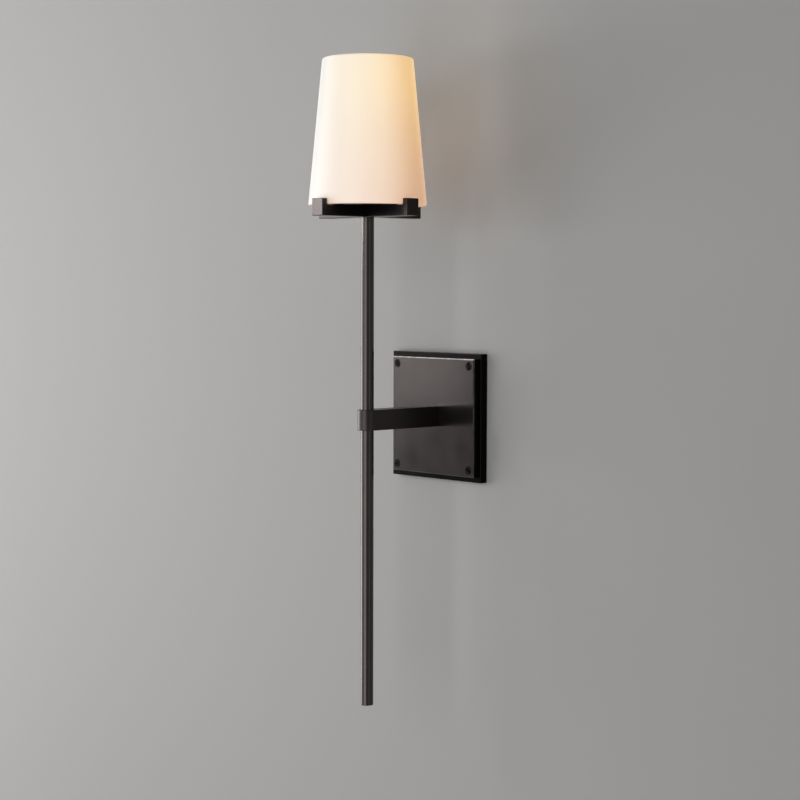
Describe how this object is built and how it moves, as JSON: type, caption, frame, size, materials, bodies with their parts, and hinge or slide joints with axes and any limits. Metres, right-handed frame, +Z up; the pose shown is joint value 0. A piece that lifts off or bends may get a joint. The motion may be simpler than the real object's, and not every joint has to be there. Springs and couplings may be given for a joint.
{
  "type": "wall lamp",
  "caption": "Wall lamp with a tapered opal glass shade in a crossed cradle on a long slim rod, held by a short collared arm on a square stepped back plate.",
  "frame": {"origin": "centre of the square back pan on the wall plane, midway between the two box slots", "axes": "+X right as seen from the room, +Y into the wall, +Z up along the rod"},
  "size_m": [0.1272, 0.1641, 0.6259],
  "materials": {
    "bronze": "dark oil-rubbed bronze, satin",
    "zinc_steel": "zinc plated",
    "brass": "plain turned",
    "phenolic": "moulded",
    "opal_glass": "white opal, smooth",
    "frosted_glass": "frosted",
    "clear_glass": "clear",
    "filament": "phosphor coated",
    "bulb_base": "rolled thread",
    "black_insulator": "vitreous",
    "silicone": "clear, soft",
    "black_lead": "insulated",
    "white_lead": "insulated",
    "green_lead": "insulated",
    "cap_plastic": "natural nylon"
  },
  "bodies": {
    "fixture": {"wall_plate": "zinc_steel", "wall_plate_posts": "zinc_steel", "back_pan": "bronze", "face_plate": "bronze", "face_plate_screws": "bronze", "earth_screw": "brass", "earth_tags": "zinc_steel", "earth_wire": "green_lead", "crimp_caps": "cap_plastic", "arm": "bronze", "arm_screws": "zinc_steel", "arm_washer": "zinc_steel", "rod_set_screw": "bronze", "rod": "bronze", "rod_tail_plug": "bronze", "cradle": "bronze", "cradle_pads": "silicone", "floor_disc": "bronze", "socket_nipple": "zinc_steel", "cradle_washer": "brass", "cradle_nut": "brass", "socket_cap": "brass", "socket_sleeve": "brass", "socket_insulator": "phenolic", "socket_screw_shell": "brass", "socket_contact": "brass", "socket_terminals": "brass", "live_wire": "black_lead", "neutral_wire": "white_lead"},
    "bulb": {"bulb_glass": "frosted_glass", "bulb_cap": "bulb_base", "bulb_insulator": "black_insulator", "bulb_contact": "bulb_base", "bulb_stem": "clear_glass", "bulb_filament": "filament"},
    "shade": {"glass_shade": "opal_glass"}
  },
  "joints": [
    {"name": "shade_lift", "type": "slide", "parent": "fixture", "child": "shade", "axis": [0, 0, 1], "range_m": [0, 0.14]},
    {"name": "bulb_turn", "type": "hinge", "parent": "fixture", "child": "bulb", "pos_m": [0, -0.1005, 0.25], "axis": [0, 0, 1], "range_deg": [0, 1260]}
  ]
}
